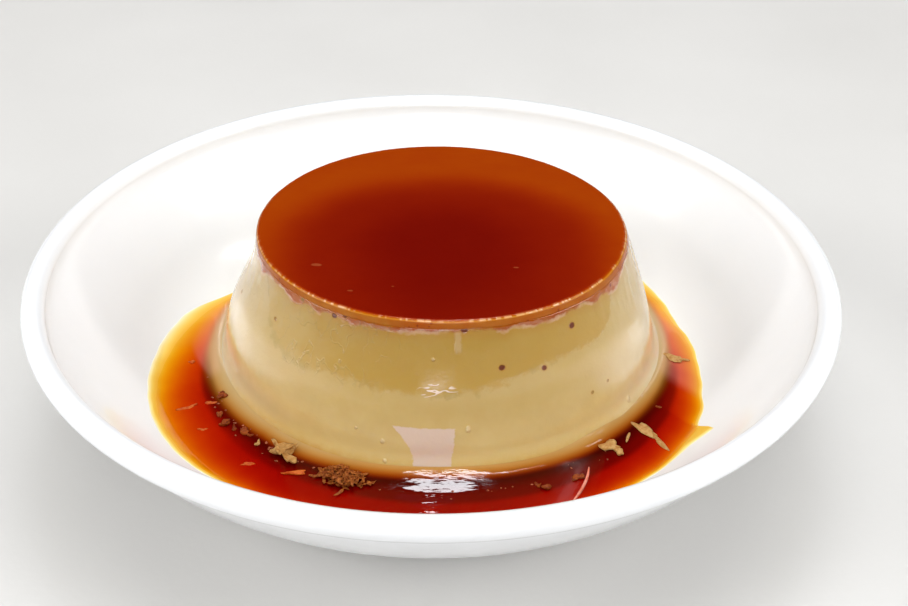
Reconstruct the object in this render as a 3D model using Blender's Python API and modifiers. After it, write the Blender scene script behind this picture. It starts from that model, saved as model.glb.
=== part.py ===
"""Creme caramel in its bowl.

A turned-out custard flan with a thin caramel layer on top stands in a shallow white bowl,
in a pool of its own caramel sauce.  Units are metres, +Z is up, the table is z = 0 and the
bowl's axis is the Z axis.  The front of the dessert faces -Y.
"""
import math

import bpy

# Driving dimensions
GAP = 0.0003                    # room between neighbouring pieces
TURN_STEPS = 64                 # facets round every turned piece
MERGE_DISTANCE = 0.00001

BOWL_RADIUS = 0.0850            # outside of the rim
BEAD_RADIUS = 0.0024            # the rim ends in a thick rounded bead
RIM_HEIGHT = 0.0338             # centre of the bead
WALL_ARC_RADIUS = 0.0528        # inside of the wall is one arc in section
WALL_ARC_CENTRE = (0.0333, 0.0570)
WALL_THICKNESS = 0.0026
FLOOR_HEIGHT = 0.0062           # flat inside bottom
FLOOR_BLEND = 0.0008            # softness of the join between floor and wall
UNDERSIDE_HEIGHT = 0.0026
FOOT_RING_INSIDE = 0.0415
FOOT_RING_OUTSIDE = 0.0455
FOOT_RING_ROUND = 0.0006

SAUCE_LEVEL = 0.01127
CUSTARD_AXIS = (0.0019, 0.0071)  # the flan stands a little off the bowl's axis
CUSTARD_TOP_HEIGHT = 0.0403     # on its own axis, caramel layer included
CUSTARD_TOP_RADIUS = 0.0394
CUSTARD_BODY_RADIUS = 0.0480    # where the flank meets the foot
FLANK_POWER = 1.24              # above 1, the flank steepens towards the foot
FOOT_RADIUS = 0.0511            # thin skirt left by the edge of the mould
FOOT_FLARE_HEIGHT = 0.0022      # the skirt starts this far above the sauce
TOP_TILT_X = -0.0059            # slope of the top, falling to the right
TOP_TILT_Y = -0.0234            # and falling to the back
SIDE_SLUMP = 0.0009             # the left flank hangs in high up and out low down
CARAMEL_THICKNESS = 0.0016
CARAMEL_EDGE_ROUND = 0.0009


def clear_scene():
    """Remove every object that the file opened with."""
    for leftover in list(bpy.data.objects):
        bpy.data.objects.remove(leftover, do_unlink=True)


def make_material(name, color, roughness, metallic=0.0):
    """A Principled material of one colour."""
    material = bpy.data.materials.new(name)
    material.use_nodes = True
    shader = material.node_tree.nodes["Principled BSDF"]
    shader.inputs["Base Color"].default_value = (*color, 1.0)
    shader.inputs["Roughness"].default_value = roughness
    shader.inputs["Metallic"].default_value = metallic
    material.diffuse_color = (*color, 1.0)
    return material


def arc_points(centre, radius, start, end, count):
    """Points on an arc in the XZ plane, angles in degrees from +X towards +Z."""
    points = []
    for i in range(count + 1):
        angle = math.radians(start + (end - start) * i / count)
        points.append((centre[0] + radius * math.cos(angle), centre[1] + radius * math.sin(angle)))
    return points


def turned_mesh(name, profile):
    """A mesh turned about Z from (radius, height) points that run over the top and down outside."""
    outline = bpy.data.meshes.new(name + "_profile")
    edges = [(i, i + 1) for i in range(len(profile) - 1)]
    outline.from_pydata([(r, 0.0, z) for r, z in profile], edges, [])
    holder = bpy.data.objects.new(name + "_profile", outline)
    bpy.context.scene.collection.objects.link(holder)
    screw = holder.modifiers.new("Turn", "SCREW")
    screw.axis = "Z"
    screw.steps = TURN_STEPS
    screw.render_steps = TURN_STEPS
    screw.use_merge_vertices = True
    screw.merge_threshold = MERGE_DISTANCE
    bpy.context.view_layer.update()
    evaluated = holder.evaluated_get(bpy.context.evaluated_depsgraph_get())
    mesh = bpy.data.meshes.new_from_object(evaluated)
    bpy.data.objects.remove(holder, do_unlink=True)
    bpy.data.meshes.remove(outline)
    mesh.name = name
    return mesh


def add_piece(collection, name, mesh, material, sharp_degrees=40.0):
    """Put a finished mesh into the dessert as a named object, shaded smooth."""
    mesh.materials.clear()
    mesh.materials.append(material)
    mesh.shade_smooth()
    mesh.set_sharp_from_angle(angle=math.radians(sharp_degrees))
    piece = bpy.data.objects.new(name, mesh)
    collection.objects.link(piece)
    return piece


def bowl_inside(radius):
    """Height of the bowl's inner surface: a flat floor that blends softly into the wall's arc."""
    centre_r, centre_z = WALL_ARC_CENTRE
    reach = max(radius - centre_r, 0.0)
    arc = centre_z - math.sqrt(WALL_ARC_RADIUS ** 2 - reach ** 2)
    rise = arc - FLOOR_HEIGHT
    return FLOOR_HEIGHT + 0.5 * (rise + math.sqrt(rise ** 2 + FLOOR_BLEND ** 2))


def bowl_profile():
    """Floor centre, up the inside, round the bead, down the outside, foot ring, underside."""
    bead_centre = (BOWL_RADIUS - BEAD_RADIUS, RIM_HEIGHT)
    inside = [(0.0, bowl_inside(0.0))]
    for radius in (0.035, 0.044, 0.048, 0.053, 0.059, 0.065, 0.0705, 0.0755, 0.0790):
        inside.append((radius, bowl_inside(radius)))
    bead = arc_points(bead_centre, BEAD_RADIUS, 190, -57, 13)
    outer_radius = WALL_ARC_RADIUS + WALL_THICKNESS
    outer_end = math.degrees(math.asin((WALL_ARC_CENTRE[1] - UNDERSIDE_HEIGHT) / outer_radius))
    outside = arc_points(WALL_ARC_CENTRE, outer_radius, -28, -outer_end, 8)
    outer_round = (FOOT_RING_OUTSIDE - FOOT_RING_ROUND, FOOT_RING_ROUND)
    inner_round = (FOOT_RING_INSIDE + FOOT_RING_ROUND, FOOT_RING_ROUND)
    foot = [(FOOT_RING_OUTSIDE, UNDERSIDE_HEIGHT)]
    foot += arc_points(outer_round, FOOT_RING_ROUND, 0, -90, 3)
    foot += arc_points(inner_round, FOOT_RING_ROUND, -90, -180, 3)
    foot += [(FOOT_RING_INSIDE, UNDERSIDE_HEIGHT), (0.0, UNDERSIDE_HEIGHT)]
    return inside + bead + outside + foot


def flank_radius(height):
    """Radius of the custard at a height: steep low down, leaning in towards the top."""
    fall = (CUSTARD_TOP_HEIGHT - height) / (CUSTARD_TOP_HEIGHT - SAUCE_LEVEL)
    fall = min(max(fall, 0.0), 1.0)
    grow = 1.0 - (1.0 - fall) ** FLANK_POWER
    body = CUSTARD_TOP_RADIUS + (CUSTARD_BODY_RADIUS - CUSTARD_TOP_RADIUS) * grow
    flare = 1.0 - (height - SAUCE_LEVEL) / FOOT_FLARE_HEIGHT
    flare = min(max(flare, 0.0), 1.0)
    return body + (FOOT_RADIUS - CUSTARD_BODY_RADIUS) * flare ** 2


def settle(mesh):
    """Turn a true turned shape about Z into the flan as it stands.

    Each point keeps its place in the turning.  The left flank is pulled in near the top and
    pushed out lower down, the top tilts while the foot stays level, the whole moves to the
    custard's own axis, and what reaches below the bowl's inside is lifted onto it.
    """
    for vertex in mesh.vertices:
        x, y, z = vertex.co
        radius = max(math.hypot(x, y), MERGE_DISTANCE)
        up = min(max((z - SAUCE_LEVEL) / (CUSTARD_TOP_HEIGHT - SAUCE_LEVEL), 0.0), 1.0)
        left = 0.5 * (1.0 - x / radius)
        slump = SIDE_SLUMP * left * math.sin(2.0 * math.pi * (0.5 - up))
        stretch = 1.0 + slump / flank_radius(z)
        lift = up * (TOP_TILT_X * x + TOP_TILT_Y * y)
        x = x * stretch + CUSTARD_AXIS[0]
        y = y * stretch + CUSTARD_AXIS[1]
        seat = bowl_inside(math.hypot(x, y)) + GAP
        vertex.co = (x, y, max(z + lift, seat))


def custard_profile():
    """The custard below its caramel layer: flat top, leaning flank, skirt, and underside."""
    top = CUSTARD_TOP_HEIGHT - CARAMEL_THICKNESS - GAP
    profile = [(0.0, top), (0.5 * CUSTARD_TOP_RADIUS, top)]
    levels = 10
    for i in range(levels + 1):
        height = top - (top - SAUCE_LEVEL - FOOT_FLARE_HEIGHT) * i / levels
        profile.append((flank_radius(height), height))
    for share in (0.6, 0.3, 0.0):
        height = SAUCE_LEVEL + FOOT_FLARE_HEIGHT * share
        profile.append((flank_radius(height), height))
    bottom = FLOOR_HEIGHT
    profile += [(FOOT_RADIUS, bottom), (0.85 * FOOT_RADIUS, bottom), (0.70 * FOOT_RADIUS, bottom)]
    return profile + [(0.35 * FOOT_RADIUS, bottom), (0.0, bottom)]


def caramel_profile():
    """The caramel layer: a thin disc with a rounded upper edge that carries on the flank."""
    bottom = CUSTARD_TOP_HEIGHT - CARAMEL_THICKNESS
    edge = (CUSTARD_TOP_RADIUS - CARAMEL_EDGE_ROUND, CUSTARD_TOP_HEIGHT - CARAMEL_EDGE_ROUND)
    profile = [(0.0, CUSTARD_TOP_HEIGHT), (0.5 * CUSTARD_TOP_RADIUS, CUSTARD_TOP_HEIGHT)]
    profile += arc_points(edge, CARAMEL_EDGE_ROUND, 90, 10, 4)
    return profile + [(flank_radius(bottom), bottom), (0.5 * CUSTARD_TOP_RADIUS, bottom), (0.0, bottom)]


def sauce_mesh():
    """The pool: a turned ring whose inner rings slide over to the custard's axis.

    A point's share runs from 0 at the custard to 1 at the bowl's wall.  The underside follows
    the bowl, and the outer edge is where the level meets the wall.
    """
    shore = FOOT_RADIUS
    while bowl_inside(shore) + 2.0 * GAP < SAUCE_LEVEL:
        shore += MERGE_DISTANCE
    inner = FOOT_RADIUS + GAP
    shares = (0.0, 0.2, 0.45, 0.7, 0.9, 1.0)
    over = [(inner + share, SAUCE_LEVEL) for share in shares]
    under = [(inner + share, FLOOR_HEIGHT) for share in reversed(shares)]
    mesh = turned_mesh("caramel_sauce", over + under + over[:1])
    for vertex in mesh.vertices:
        x, y, z = vertex.co
        reach = math.hypot(x, y)
        share = reach - inner
        radius = inner + (shore - inner) * share
        x = x / reach * radius + CUSTARD_AXIS[0] * (1.0 - share)
        y = y / reach * radius + CUSTARD_AXIS[1] * (1.0 - share)
        if z < SAUCE_LEVEL - MERGE_DISTANCE:
            z = min(bowl_inside(math.hypot(x, y)) + GAP, SAUCE_LEVEL - GAP)
        vertex.co = (x, y, z)
    return mesh


def build():
    """Make the bowl, the custard, its caramel layer and the pool of sauce."""
    clear_scene()
    dessert = bpy.data.collections.new("creme_caramel")
    bpy.context.scene.collection.children.link(dessert)

    glaze = make_material("white_glaze", (0.87, 0.87, 0.86), 0.12)
    custard = make_material("custard", (0.69, 0.50, 0.27), 0.35)
    caramel = make_material("caramel_layer", (0.25, 0.03, 0.002), 0.10)
    sauce = make_material("caramel_sauce", (0.42, 0.05, 0.002), 0.06)

    add_piece(dessert, "bowl", turned_mesh("bowl", bowl_profile()), glaze)

    custard_mesh = turned_mesh("custard", custard_profile())
    settle(custard_mesh)
    add_piece(dessert, "custard", custard_mesh, custard)

    caramel_mesh = turned_mesh("caramel_top", caramel_profile())
    settle(caramel_mesh)
    add_piece(dessert, "caramel_top", caramel_mesh, caramel)

    add_piece(dessert, "caramel_sauce", sauce_mesh(), sauce)


build()
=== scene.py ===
"""A creme caramel turned out of its mould: custard under a caramel layer, standing in a pool of
its own sauce in a shallow white bowl.  Lengths are metres, up is +Z and the front faces -Y."""
import itertools
import math

import bpy
import numpy as np
from mathutils import Matrix, Vector


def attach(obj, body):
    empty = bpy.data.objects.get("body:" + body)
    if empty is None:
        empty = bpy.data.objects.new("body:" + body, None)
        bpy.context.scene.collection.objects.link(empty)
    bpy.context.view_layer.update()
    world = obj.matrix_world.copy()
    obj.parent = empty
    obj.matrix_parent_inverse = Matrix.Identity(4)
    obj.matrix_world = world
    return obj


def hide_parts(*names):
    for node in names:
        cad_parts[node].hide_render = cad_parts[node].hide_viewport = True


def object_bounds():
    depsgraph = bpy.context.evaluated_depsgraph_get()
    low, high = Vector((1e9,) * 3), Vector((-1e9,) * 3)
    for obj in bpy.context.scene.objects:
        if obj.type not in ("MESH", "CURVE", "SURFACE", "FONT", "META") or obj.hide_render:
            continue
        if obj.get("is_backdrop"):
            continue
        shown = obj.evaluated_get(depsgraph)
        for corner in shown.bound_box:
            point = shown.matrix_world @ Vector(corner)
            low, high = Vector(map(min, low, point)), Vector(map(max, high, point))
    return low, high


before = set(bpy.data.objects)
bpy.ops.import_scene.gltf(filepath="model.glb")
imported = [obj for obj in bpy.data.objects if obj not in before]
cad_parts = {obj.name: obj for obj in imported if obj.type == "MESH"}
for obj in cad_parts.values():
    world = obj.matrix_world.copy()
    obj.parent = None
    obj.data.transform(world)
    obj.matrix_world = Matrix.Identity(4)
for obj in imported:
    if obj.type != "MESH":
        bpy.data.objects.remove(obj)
cad_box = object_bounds()


# -----------------------------------------------------------------------------
# The bowl is shallow white porcelain, turned, with a thick rounded bead for a rim.  It is dipped
# in clear glaze all over, and the foot ring that it stands on is wiped bare before firing.

MM = 0.001
BOWL_RADIUS = 85.0 * MM
BEAD_RADIUS = 2.4 * MM
RIM_HEIGHT = 33.8 * MM
WALL_ARC_RADIUS = 52.8 * MM
WALL_ARC_CENTRE = (33.3 * MM, 57.0 * MM)
WALL_THICKNESS = 2.6 * MM
FLOOR_HEIGHT = 6.2 * MM
FLOOR_BLEND = 0.8 * MM
UNDERSIDE_HEIGHT = 2.6 * MM
FOOT_RING = (41.5 * MM, 45.5 * MM)
FOOT_RING_ROUND = 0.6 * MM

# mm of radius where the inside meets the bead, and the degrees at which the arcs end
INSIDE_REACH = 79.6
BEAD_ENDS = (188, -55)
WALL_TOP = -28


def eased(value, blend):
    """The value where it is well above 0, near 0 below it: (value + sqrt(value^2 + blend^2)) / 2."""
    return 0.5 * (value + np.sqrt(value**2 + blend**2))


def bowl_inside(radius):
    """Height of the inner surface: floor + eased(arc - floor), so a flat floor eases into a wall
    whose section is one arc, its height centre - sqrt(radius^2 - reach^2)."""
    reach = np.maximum(radius - WALL_ARC_CENTRE[0], 0.0)
    wall = WALL_ARC_CENTRE[1] - np.sqrt(WALL_ARC_RADIUS**2 - reach**2)
    return FLOOR_HEIGHT + eased(wall - FLOOR_HEIGHT, FLOOR_BLEND)


def arc(centre, radius, start, end, count):
    """Points at centre + radius (cos a, sin a), a running evenly from start to end in degrees."""
    angle = np.radians(np.linspace(start, end, count))
    return np.stack([centre[0] + radius * np.cos(angle), centre[1] + radius * np.sin(angle)], 1)


def once_round(columns):
    """Even turns in radians, once round: 2 pi k / columns."""
    return np.arange(columns) * (2.0 * math.pi / columns)


def turned(profile, columns):
    """Carry a profile of (radius, height) round Z: x = r cos a, y = r sin a, z = height."""
    angle = once_round(columns)
    radius, height = profile[:, 0, None], profile[:, 1, None]
    return np.stack([radius * np.cos(angle), radius * np.sin(angle), height + 0.0 * angle], -1)


def skin(name, grids, poles=None, marks=None):
    """A smooth mesh over grids of points (pieces, rows, columns, 3) whose columns run round.

    Quads join each ring to the next.  poles, two for each piece, close its ends with fans;
    without them the last ring joins the first.  marks are named numbers, one for each point.
    """
    grids = grids.reshape(-1, *grids.shape[-3:])
    pieces, rows, columns = grids.shape[:3]
    body = rows * columns
    index = np.arange(body).reshape(rows, columns)
    near, far = (index[:-1], index[1:]) if poles is not None else (index, np.roll(index, -1, 0))
    quads = np.stack([near, far, np.roll(far, -1, 1), np.roll(near, -1, 1)], -1).reshape(-1, 4)
    fans = np.zeros((0, 3), int)
    points = grids.reshape(pieces, body, 3)
    if poles is not None:
        top, low = index[0], index[-1]
        first = np.stack([np.full(columns, body), top, np.roll(top, -1)], 1)
        last = np.stack([np.full(columns, body + 1), np.roll(low, -1), low], 1)
        fans = np.concatenate([first, last])
        points = np.concatenate([points, np.reshape(poles, (pieces, 2, 3))], 1)
    shift = np.arange(pieces)[:, None] * points.shape[1]
    corners = np.concatenate([(quads.ravel() + shift).ravel(), (fans.ravel() + shift).ravel()])
    quad_count, fan_count = pieces * len(quads), pieces * len(fans)
    starts = np.concatenate([np.arange(quad_count) * 4, quad_count * 4 + np.arange(fan_count) * 3])
    mesh = bpy.data.meshes.new(name)
    mesh.vertices.add(points.size // 3)
    mesh.vertices.foreach_set("co", points.ravel())
    mesh.loops.add(len(corners))
    mesh.loops.foreach_set("vertex_index", corners)
    mesh.polygons.add(len(starts))
    mesh.polygons.foreach_set("loop_start", starts)
    mesh.update(calc_edges=True)
    mesh.shade_smooth()
    for mark, values in (marks or {}).items():
        filled = values.reshape(pieces, body)
        if poles is not None:
            ends = [values.reshape(pieces, rows, columns)[:, end].mean(-1) for end in (0, -1)]
            filled = np.concatenate([filled, np.stack(ends, 1)], 1)
        mesh.attributes.new(mark, "FLOAT", "POINT").data.foreach_set("value", filled.ravel())
    return mesh


def stand(name, data):
    """A new object in the scene, at the origin."""
    thing = bpy.data.objects.new(name, data)
    bpy.context.scene.collection.objects.link(thing)
    return thing


def place(mesh, finish, slot, *nodes):
    """Put a finished mesh into the dessert, in place of those CAD nodes."""
    mesh.materials.append(finish.material)
    piece = stand(mesh.name, mesh)
    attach(piece, "root")
    if nodes:
        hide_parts(*nodes)


class Signal:
    """A value on its way through a material; arithmetic on it adds Math nodes."""

    def __init__(self, finish, socket):
        self.finish = finish
        self.socket = socket

    def __add__(self, other):
        return self.finish.math("ADD", self, other)

    def __sub__(self, other):
        return self.finish.math("SUBTRACT", self, other)

    def __rsub__(self, other):
        return self.finish.math("SUBTRACT", other, self)

    def __mul__(self, other):
        return self.finish.math("MULTIPLY", self, other)

    __radd__ = __add__
    __rmul__ = __mul__


class Finish:
    """A material as it is built up from nodes, ending in one Principled surface."""

    def __init__(self, name):
        self.material = bpy.data.materials.new(name)
        self.material.use_nodes = True
        self.tree = self.material.node_tree
        self.tree.nodes.clear()
        self.spot = self.node("TexCoord", output="Object")

    def node(self, kind, settings=None, inputs=None, output=0):
        """Add a node, make its settings, then fill or link its sockets; gives one output."""
        node = self.tree.nodes.new("ShaderNode" + kind)
        for key, value in (settings or {}).items():
            setattr(node, key, value)
        for key, value in (inputs or {}).items():
            if isinstance(value, Signal):
                self.tree.links.new(value.socket, node.inputs[key])
            else:
                node.inputs[key].default_value = value
        return Signal(self, node.outputs[output])

    def math(self, operation, *values):
        """A Math node on values and numbers."""
        return self.node("Math", {"operation": operation}, dict(enumerate(values)))

    def noise(self, size, detail=2.0, roughness=0.5, shift=(0.0, 0.0, 0.0), stretch=(1.0, 1.0, 1.0)):
        """Smooth noise about 0, mostly within -1 and 1, with features of that size."""
        scale = tuple(1.0 / (size * along) for along in stretch)
        at = self.node("Mapping", None, {"Vector": self.spot, "Location": shift, "Scale": scale})
        look = {"Vector": at, "Scale": 1.0, "Detail": detail, "Roughness": roughness}
        return 4.0 * (self.node("TexNoise", None, look) - 0.5)

    def cells(self, size):
        """Distance to the nearest of points strewn about that far apart, counted in that size."""
        return self.node("TexVoronoi", None, {"Vector": self.spot, "Scale": 1.0 / size})

    def mark(self, name):
        """A number stored on the mesh."""
        return self.node("Attribute", {"attribute_name": name}, output="Fac")

    def step(self, value, low, high):
        """0 below low, 1 above high, eased between; low above high turns it round."""
        limits = {"Value": value, "From Min": low, "From Max": high}
        return self.node("MapRange", {"interpolation_type": "SMOOTHSTEP"}, limits)

    def band(self, value, start, full, fading, gone):
        """0 before start, 1 from full to fading, and 0 again after gone."""
        return self.step(value, start, full) * self.step(value, gone, fading)

    def blend(self, factor, first, second, mode="MIX"):
        """Mix two colours, each a signal or plain (red, green, blue)."""
        kind = {"data_type": "RGBA", "blend_type": mode}
        inputs = {0: factor}
        for key, colour in ((6, first), (7, second)):
            inputs[key] = colour if isinstance(colour, Signal) else (*colour, 1.0)
        return self.node("Mix", kind, inputs, output=2)

    def steeped(self, ground, depth, strength):
        """The ground colour seen through caramel: each channel x exp(-strength x depth in mm)."""
        passed = [self.math("EXPONENT", depth * -channel) for channel in strength]
        tint = self.node("CombineColor", None, dict(enumerate(passed)))
        return self.blend(1.0, ground, tint, "MULTIPLY")

    def relief(self, height):
        """Normal of a fine relief, its height in metres."""
        return self.node("Bump", None, {"Strength": 1.0, "Distance": 1.0, "Height": height})

    def surface(self, **inputs):
        """The Principled surface; names use _ for a space."""
        named = {key.replace("_", " "): value for key, value in inputs.items()}
        shader = self.node("BsdfPrincipled", None, named)
        out = self.tree.nodes.new("ShaderNodeOutputMaterial")
        self.tree.links.new(shader.socket, out.inputs["Surface"])


GLAZE = (0.850, 0.863, 0.884)
PALE_GLAZE = (0.872, 0.885, 0.906)
BISCUIT = (0.78, 0.74, 0.67)


def porcelain():
    """White glaze over porcelain: faint unevenness of the glaze, bare biscuit under the ring."""
    finish = Finish("white_glaze")
    height = finish.node("SeparateXYZ", None, {"Vector": finish.spot}, "Z")
    bare = finish.step(height, 0.9 * MM, 0.6 * MM)
    glaze = finish.blend(0.5 + 0.5 * finish.noise(18 * MM, 3.0), GLAZE, PALE_GLAZE)
    grain = finish.noise(0.35 * MM, 2.0)
    finish.surface(
        Base_Color=finish.blend(bare, glaze, BISCUIT),
        Roughness=0.15 + 0.02 * finish.noise(9 * MM) + 0.5 * bare,
        Normal=finish.relief((0.012 * finish.noise(6 * MM, 1.0) + 0.03 * grain * bare) * MM),
        IOR=1.5,
    )
    return finish


def bowl_profile():
    """Out from the floor's centre, up the inside, over the bead, down the outside of the wall,
    round the foot ring and in under the base: bowl_inside, then arcs and straight lines."""
    radius = np.concatenate([np.linspace(4.0, 30.0, 6), np.linspace(32.0, INSIDE_REACH, 60)]) * MM
    inside = np.stack([radius, bowl_inside(radius)], 1)
    bead = arc((BOWL_RADIUS - BEAD_RADIUS, RIM_HEIGHT), BEAD_RADIUS, *BEAD_ENDS, 30)
    outer_radius = WALL_ARC_RADIUS + WALL_THICKNESS
    low_end = math.degrees(math.asin((WALL_ARC_CENTRE[1] - UNDERSIDE_HEIGHT) / outer_radius))
    wall = arc(WALL_ARC_CENTRE, outer_radius, WALL_TOP, -low_end, 40)
    inner, outer = FOOT_RING
    corner = np.array([(outer, UNDERSIDE_HEIGHT - 0.2 * MM)])
    round_out = arc((outer - FOOT_RING_ROUND, FOOT_RING_ROUND), FOOT_RING_ROUND, 0, -90, 6)
    round_in = arc((inner + FOOT_RING_ROUND, FOOT_RING_ROUND), FOOT_RING_ROUND, -90, -180, 6)
    under = np.full((4, 2), UNDERSIDE_HEIGHT)
    under[:, 0] = inner, inner - FOOT_RING_ROUND, 0.7 * inner, 0.3 * inner
    under[0, 1] -= FOOT_RING_ROUND
    return np.concatenate([inside, bead, wall, corner, round_out, round_in, under])


bowl_mesh = skin("bowl_porcelain", turned(bowl_profile(), 360),
                 poles=[(0, 0, bowl_inside(0.0)), (0, 0, UNDERSIDE_HEIGHT)])
place(bowl_mesh, porcelain(), "white_glaze", "bowl")


# -----------------------------------------------------------------------------
# The custard is baked in a plain round mould and turned out, so its flank leans in towards the
# top, hangs a little on the left, and leaves a thin skirt where it met the mould's edge.

SAUCE_LEVEL = 11.27 * MM
CUSTARD_AXIS = (1.9 * MM, 7.1 * MM)
TOP_HEIGHT = 40.29 * MM
TOP_RADIUS = 39.4 * MM
BODY_RADIUS = 48.0 * MM
FLANK_POWER = 1.24
FOOT_RADIUS = 49.8 * MM
FOOT_FLARE = 4.6 * MM
FLARE_POWER = 2.6
TOP_TILT = (-0.0059, -0.0234)
SIDE_SLUMP = 0.9 * MM
LAYER_FOOT = 38.7 * MM
BOWL_GAP = 0.3 * MM


def flank_radius(height):
    """Radius of the flank: top + (body - top) (1 - (1 - fall)^power) + (foot - body) flare^power,
    where fall is the share of the way down and flare the share of the way into the skirt."""
    fallen = np.clip((TOP_HEIGHT - height) / (TOP_HEIGHT - SAUCE_LEVEL), 0.0, 1.0)
    body = TOP_RADIUS + (BODY_RADIUS - TOP_RADIUS) * (1.0 - (1.0 - fallen) ** FLANK_POWER)
    flare = np.clip(1.0 - (height - SAUCE_LEVEL) / FOOT_FLARE, 0.0, 1.0)
    return body + (FOOT_RADIUS - BODY_RADIUS) * flare**FLARE_POWER


def rise(value, low, high):
    """0 below low, 1 above high, 3 t^2 - 2 t^3 between."""
    share = np.clip((value - low) / (high - low), 0.0, 1.0)
    return share * share * (3.0 - 2.0 * share)


def fall(value, low, high):
    """1 below low, 0 above high, and 1 - rise between."""
    return 1.0 - rise(value, low, high)


def short_way(angle):
    """The same angle in degrees, brought between -180 and 180."""
    return np.degrees(np.angle(np.exp(1j * np.radians(angle))))


def bell(angle, centre, width):
    """exp(-((angle - centre) / width)^2) in degrees, the short way round."""
    return np.exp(-((short_way(angle - centre) / width) ** 2))


def past(angle, edge, width):
    """1 / (1 + exp(-(angle - edge) / width)): 0 well before the edge, 1 well past it."""
    return 1.0 / (1.0 + np.exp(-(angle - edge) / width))


def circle(turn, radius):
    """Points of a circle round Z at those turns in radians: radius (cos t, sin t, 0)."""
    return np.stack([np.cos(turn), np.sin(turn), 0.0 * turn], -1) * radius


def settled(grid):
    """A true turned shape as it stands: the left side slumps, the top tilts, the foot is level,
    the whole moves to the custard's own axis, and no point is below the bowl's inside.

    slump = 0.5 most (1 - x / radius) sin(2 pi (0.5 - share up)); lift = share up (tilt . (x, y)).
    """
    x, y, z = grid[..., 0], grid[..., 1], grid[..., 2]
    radius = np.maximum(np.hypot(x, y), 0.01 * MM)
    up = np.clip((z - SAUCE_LEVEL) / (TOP_HEIGHT - SAUCE_LEVEL), 0.0, 1.0)
    slump = SIDE_SLUMP * 0.5 * (1.0 - x / radius) * np.sin(2.0 * math.pi * (0.5 - up))
    stretch = 1.0 + slump / flank_radius(z)
    lift = up * (TOP_TILT[0] * x + TOP_TILT[1] * y)
    x = x * stretch + CUSTARD_AXIS[0]
    y = y * stretch + CUSTARD_AXIS[1]
    return np.stack([x, y, np.maximum(z + lift, bowl_inside(np.hypot(x, y)) + BOWL_GAP)], -1)


def soft_noise(grid, size, seed, lattice=32):
    """Random numbers on a cubic lattice of that size, eased between its corners: -1 to 1."""
    table = np.random.default_rng(seed).uniform(-1.0, 1.0, (lattice,) * 3)
    cell = grid / size
    corner = np.floor(cell).astype(int)
    part = cell - corner
    ease = part * part * (3.0 - 2.0 * part)
    total = np.zeros(grid.shape[:-1])
    for step in itertools.product((0, 1), repeat=3):
        weight = np.prod(np.where(step, ease, 1.0 - ease), axis=-1)
        at = (corner + step) % lattice
        total += weight * table[at[..., 0], at[..., 1], at[..., 2]]
    return total


# turn and width in degrees, and length in mm, of each drip that hangs from the veil
VEIL_DRIPS = ((-104, 5.0, 0.4), (-137, 4.0, 1.3), (-128, 2.0, 0.9), (-116, 2.0, 0.6),
              (-41, 3.0, 1.2), (-31, 5.0, 1.6), (-60, 7.0, 0.5), (-72, 2.0, 0.5), (24, 6.0, 1.6),
              (71, 3.0, 2.4), (118, 4.0, 1.8), (163, 3.5, 2.6), (-158, 3.0, 1.6))


def veil_reach(angle, ring):
    """How far below the top edge the thick veil of caramel has run, in mm: an uneven 2.2 mm, and
    the length of each drip x its bell."""
    reach = 2.2 + 0.30 * soft_noise(ring, 7 * MM, 11) + 0.22 * soft_noise(ring, 2.5 * MM, 12)
    return reach + sum(length * bell(angle, centre, width) for centre, width, length in VEIL_DRIPS)


def film_reach(angle, ring):
    """How far below the top edge the thin film of caramel reaches, in mm: an uneven 10.9, 2.6 more
    left of -71 degrees, across the front from -150 to -34 and more weakly across the back."""
    reach = 10.9 + 2.6 * past(-angle, 71.0, 2.5) + 0.9 * soft_noise(ring, 9 * MM, 21)
    front = past(angle, -150.0, 3.0) * past(-angle, 34.0, 2.0)
    back = 0.8 * np.exp(-(((angle - 95.0) / 38.0) ** 4))
    return reach * np.clip(front + back, 0.0, 1.0)


# turn in degrees and height in mm of a low bulge at the front, and of the strands near it painted as
# pale highlights
BULGE = (-91.5, 26.4)
STRANDS = (-91.3, 27.2)


def custard_grid(profile, columns):
    """The settled flan for a profile of (radius, height), with its unevenness and its marks.

    Swellings 15 and 5 mm across, the veil's thickness, the bulge and upright streaks on both
    sides are added outwards, fading out at the foot and towards the middle.  Marks, in mm or
    degrees: drop below the top edge, how far inside the veil and the film a point is, and turn.
    """
    plain = turned(profile, columns)
    angle = np.degrees(np.arctan2(plain[..., 1], plain[..., 0]))
    height = plain[..., 2]
    grid = settled(plain)
    turn = np.radians(angle)
    ring = circle(turn, 45 * MM)
    drop = (TOP_HEIGHT - height) / MM
    veil = veil_reach(angle, ring) - drop
    film = film_reach(angle, ring) - drop
    swell = 0.16 * soft_noise(grid, 15 * MM, 1) + 0.06 * soft_noise(grid, 5 * MM, 2)
    swell = swell + 0.08 * np.clip(veil / 0.8, 0.0, 1.0)
    bulge = bell(angle, BULGE[0], 7.0) * np.exp(-(((height / MM - BULGE[1]) / 1.5) ** 2))
    streaks = soft_noise(grid / [1, 1, 7], 1.6 * MM, 5) * rise(np.abs(np.cos(turn)), 0.55, 0.85)
    streaks = streaks * rise(drop, 0.5, 2.0) * fall(drop, 8.0, 14.0)
    swell = swell + 0.05 * bulge + 0.10 * streaks
    above_foot = np.clip((height - SAUCE_LEVEL) / (4 * MM), 0.0, 1.0)
    share_out = np.hypot(plain[..., 0], plain[..., 1]) / flank_radius(height)
    near_flank = np.clip(6.0 * share_out - 5.0, 0.0, 1.0)
    outward = circle(turn, 1.0)
    outward[..., 2] = 0.25 * (height < TOP_HEIGHT - 3 * MM)
    grid = grid + outward * (swell * above_foot * near_flank * MM)[..., None]
    return grid, {"drop": drop, "veil": veil, "film": film, "turn": angle}


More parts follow.
